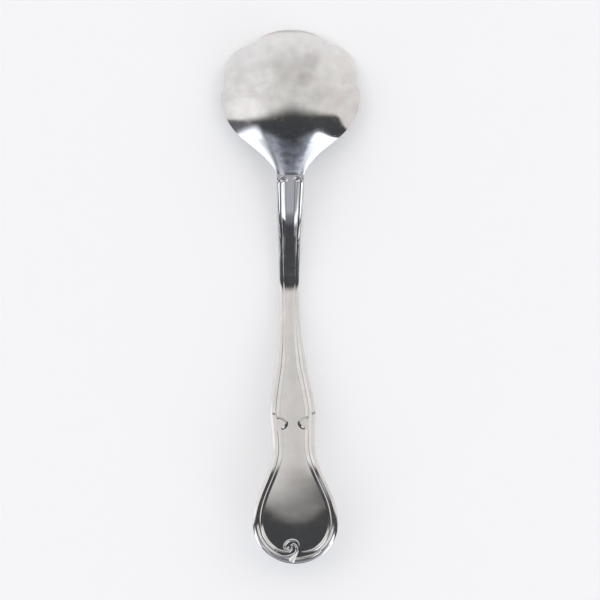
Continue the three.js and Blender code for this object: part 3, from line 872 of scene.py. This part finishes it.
def polished_steel(name, lustre):
    """Mirror-polished steel with wiping marks, scratches, smudges, stains, painted shade and painted
    highlights.

    The painted shading mark is painted shade where positive and a painted white highlight where negative;
    the wear mark brings stains and a lavender tint. The lustre is the share of the light that the clean
    steel returns."""
    material = bpy.data.materials.new(name)
    material.use_nodes = True
    tree = material.node_tree
    steel = Shade(tree)
    place = steel.node("ShaderNodeTexCoord", {}, {}, "Object")
    painted_shading_mark = steel.node("ShaderNodeAttribute", {"attribute_name": "soil"}, {}, "Fac")
    wear = steel.node("ShaderNodeAttribute", {"attribute_name": "wear"}, {}, "Fac")
    # The mark is painted shade where positive and a painted highlight where negative
    soil = painted_shading_mark.math("MAXIMUM", 0.0)
    painted_highlight = (0.0 - painted_shading_mark).math("MAXIMUM", 0.0)

    def noise(scale, detail, stretch=(1.0, 1.0, 1.0), turn=0.0):
        """Noise on the piece by its scale per metre and detail, with a scale per axis and a turn in plan."""
        mapping = {"Vector": place, "Rotation": (0.0, 0.0, turn), "Scale": stretch}
        stretched = steel.node("ShaderNodeMapping", {}, mapping, 0)
        values = {"Vector": stretched, "Scale": scale, "Detail": detail, "Roughness": NOISE_ROUGHNESS}
        return steel.node("ShaderNodeTexNoise", {}, values, 0)

    blotch = noise(*BLOTCH_NOISE)
    smudge = noise(*SMUDGE_NOISE).ramp(*SMUDGE_SPAN)
    mottle = mix(UNWORN_MOTTLE, 1.0, wear) * noise(*MOTTLE_NOISE).ramp(*MOTTLE_SPAN)
    stain = wear * noise(*STAIN_NOISE).ramp(*STAIN_SPAN)
    wiped = noise(*WIPING_NOISE)
    scratch = noise(*SCRATCH_NOISE).ramp(*SCRATCH_SPAN)
    slanted = noise(*SLANTED_NOISE).ramp(*SLANTED_SPAN)
    grain = noise(*GRAIN_NOISE)
    tone = CLEAN_LIGHT + BLOTCH_LIGHT * blotch - SCRATCH_LOSS * scratch
    tone = tone - MOTTLE_LOSS * mottle - STAIN_LOSS * stain
    # Painted shade darkens the steel's colour
    shiny = lustre * tone * (1.0 - PAINTED_SHADE_LOSS * soil)
    tint = noise(*TINT_NOISE).ramp(*TINT_SPAN).blend(STEEL_ROSY, STEEL_GREENISH)
    tint = (WORN_TINT * wear).blend(tint, STEEL_LAVENDER)
    # A painted highlight whitens the colour
    colour = painted_highlight.blend(shiny.blend(NO_LIGHT, tint), PAINTED_HIGHLIGHT_COLOUR)
    rough = POLISH_ROUGHNESS + SMUDGE_ROUGHNESS * smudge + MOTTLE_ROUGHNESS * mottle
    rough = rough + WIPING_ROUGHNESS * wiped * blotch + SCRATCH_ROUGHNESS * scratch
    rough = rough + SCRATCH_ROUGHNESS * slanted + PAINTED_SHADE_ROUGHNESS * soil + PAINTED_HIGHLIGHT_ROUGHNESS * painted_highlight
    waves = noise(*WAVE_NOISE) * WAVE_HEIGHT + grain * GRAIN_HEIGHT + wiped * WIPING_HEIGHT
    waves = waves - scratch * SCRATCH_DEPTH - slanted * SCRATCH_DEPTH
    bump = steel.node("ShaderNodeBump", {}, {"Strength": 1.0, "Distance": MICRON, "Height": waves}, 0)
    shader = tree.nodes["Principled BSDF"]
    shader.inputs["Metallic"].default_value = 1.0
    tree.links.new(colour.socket, shader.inputs["Base Color"])
    tree.links.new(rough.socket, shader.inputs["Roughness"])
    tree.links.new(bump.socket, shader.inputs["Normal"])
    return material


def build_floor():
    """Flat square of white paper under the spoon."""
    corners = [(x * FLOOR_HALF, y * FLOOR_HALF, 0.0) for x, y in ((-1, -1), (1, -1), (1, 1), (-1, 1))]
    mesh = bpy.data.meshes.new("floor")
    mesh.from_pydata(corners, [], [(0, 1, 2, 3)])
    paper = bpy.data.materials.new("paper")
    paper.use_nodes = True
    shader = paper.node_tree.nodes["Principled BSDF"]
    shader.inputs["Base Color"].default_value = PAPER_COLOUR
    shader.inputs["Emission Color"].default_value = PAPER_GLOW_COLOUR
    shader.inputs["Emission Strength"].default_value = PAPER_GLOW
    shader.inputs["Roughness"].default_value = PAPER_ROUGHNESS
    mesh.materials.append(paper)
    floor = bpy.data.objects.new("floor", mesh)
    bpy.context.collection.objects.link(floor)
    return floor


def pale_room(direction, right, tipward, aside, left):
    """Brightness past the room's edge: almost even, more to the left and far off, with spots and clouds."""
    pale = PALE_LEVEL + left * aside.step(*PALE_STEP_LEFT)
    for change in PALE_STEPS:
        pale = pale + tipward.step(*change)
    for at_right, at_tip, wide, long, change in ROOM_SPOTS:
        out = (right - at_right) / wide
        up = (tipward - at_tip) / long
        pale = pale + (out * out + up * up).step(change, 1.0, 0.0)
    clouds = {"Vector": direction, "Scale": CLOUD_SCALE, "Detail": CLOUD_DETAIL}
    cloud = direction.node("ShaderNodeTexNoise", {}, clouds, 0)
    return pale * (CLOUD_DARKEST + CLOUD_DEPTH * cloud)


def dark_room(tipward, aside, left):
    """Brightness on the handle's side: a dark band overhead, then grey haze, and a white panel on each side.

    Each panel lies below a top that falls by the square of the distance from its peak. Its inner edge moves
    outward on the way down and, on the right, back in."""
    haze = tipward.ramp(*HAZE_ASIDE_RUN) * aside.step(*HAZE_STEP_ASIDE)
    for change in HAZE_STEPS:
        haze = haze + tipward.step(*change)
    haze = haze * (1.0 - tipward.step(*HAZE_LOSS_LOW))
    band = DARK_LEVEL + haze * aside.ramp(*HAZE_ENDS_ASIDE) + left * aside.step(*DARK_STEP_LEFT)
    from_peak = aside - PANEL_TOP_AT - PANEL_TOP_AT_LEFT * left
    panel_top = PANEL_TOP - (PANEL_TOP_BOW - PANEL_TOP_BOW_LEFT * left) * from_peak * from_peak
    top_blur = [at - at_left * left for at, at_left in zip(PANEL_TOP_BLUR, PANEL_TOP_BLUR_LEFT)]
    outward = (PANEL_OUTWARD - PANEL_OUTWARD_LEFT * left) * tipward.ramp(*PANEL_OUTWARD_RUN)
    outward = outward - (1.0 - left) * tipward.step(*PANEL_BACK_IN)
    within = (aside - PANEL_INNER_LEFT * left - outward).ramp(*PANEL_INNER_BLUR)
    panel = within * (panel_top - tipward).ramp(*top_blur)
    return band + PANEL_LEVEL * panel


def build_studio():
    """Light tent round the table: a pale room past an edge overhead, a dark one on the handle's side and a
    bright horizon.

    The edge is bowed by a hyperbola in the direction to the right, and another one adds the light on the far
    right. Directions are read in degrees from straight up, to the right and tipward."""
    world = bpy.data.worlds.new("studio")
    world.use_nodes = True
    tree = world.node_tree
    tent = Shade(tree)
    direction = tent.node("ShaderNodeTexCoord", {}, {}, "Generated")
    x, y, z = (tent.node("ShaderNodeSeparateXYZ", {}, {"Vector": direction}, axis) for axis in "XYZ")
    tilt = z.math("ARCCOSINE") * math.degrees(1.0)
    per_flat = tilt / (x * x + y * y).math("SQRT").math("MAXIMUM", LEAST_FLAT)
    right = x * per_flat
    tipward = y * per_flat
    aside = right.math("ABSOLUTE")
    left = right.ramp(*LEFT_BLEND)

    bow = (right * right + ROOM_EDGE_ROUND**2).math("SQRT") - ROOM_EDGE_ROUND
    past_rim = right - RIM_LIGHT_AT
    rim_light = RIM_LIGHT_REACH * (past_rim + (past_rim * past_rim + RIM_LIGHT_ROUND**2).math("SQRT"))
    past_edge = tipward - ROOM_EDGE_AT + (ROOM_EDGE_BOW + ROOM_EDGE_BOW_LEFT * left) * bow + rim_light
    blur = (1.0 - BLUR_FALL_ASIDE * aside).math("MAXIMUM", LEAST_BLUR)
    behind = past_edge.ramp(*(at * blur for at in ROOM_EDGE_BLUR))
    glow = behind * pale_room(direction, right, tipward, aside, left)
    glow = glow + (1.0 - behind) * dark_room(tipward, aside, left)
    horizon = HORIZON_LEVEL - HORIZON_DIMMER_TIPWARD * behind
    glow = glow + (horizon - glow) * tilt.ramp(*HORIZON_TILT)
    warmth = past_edge.ramp(*WARM_FROM_EDGE) * (1.0 - tipward.step(*WARM_LOSS_TIPWARD))
    warmth = warmth * (1.0 - left * aside.step(*WARM_LOSS_LEFT))
    backdrop = tree.nodes["Background"]
    tree.links.new(warmth.blend(COOL_LIGHT, WARM_LIGHT).socket, backdrop.inputs["Color"])
    tree.links.new((glow * TENT_LEVEL).socket, backdrop.inputs["Strength"])
    bpy.context.scene.world = world


def place_camera():
    """Camera that looks straight down and sees the field's width at mid height of the spoon."""
    data = bpy.data.cameras.new("camera")
    data.sensor_width = SENSOR_WIDTH
    data.lens = SENSOR_WIDTH * (CAMERA_AT[2] - FIELD_HEIGHT) / FIELD
    camera = bpy.data.objects.new("camera", data)
    camera.location = CAMERA_AT
    camera.rotation_euler = (0.0, 0.0, CAMERA_TURN)
    bpy.context.collection.objects.link(camera)
    bpy.context.scene.camera = camera


handle_steel = polished_steel("handle_steel", HANDLE_LUSTRE)
bowl_steel = polished_steel("bowl_steel", BOWL_LUSTRE)
handle_piece = make_handle(handle_steel)
bowl_piece = make_bowl(bowl_steel)
main_pieces = ((handle_piece, "handle", "steel_handle"), (bowl_piece, "shell_bowl", "steel_bowl"))
for piece, node, slot in main_pieces:
    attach(piece, "root")
    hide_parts(node)

for scroll in SCROLL_PIECES:
    piece = make_scroll(handle_steel, **scroll)
    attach(piece, "root")

build_floor()
build_studio()
bpy.context.scene.view_settings.view_transform = "Standard"
place_camera()
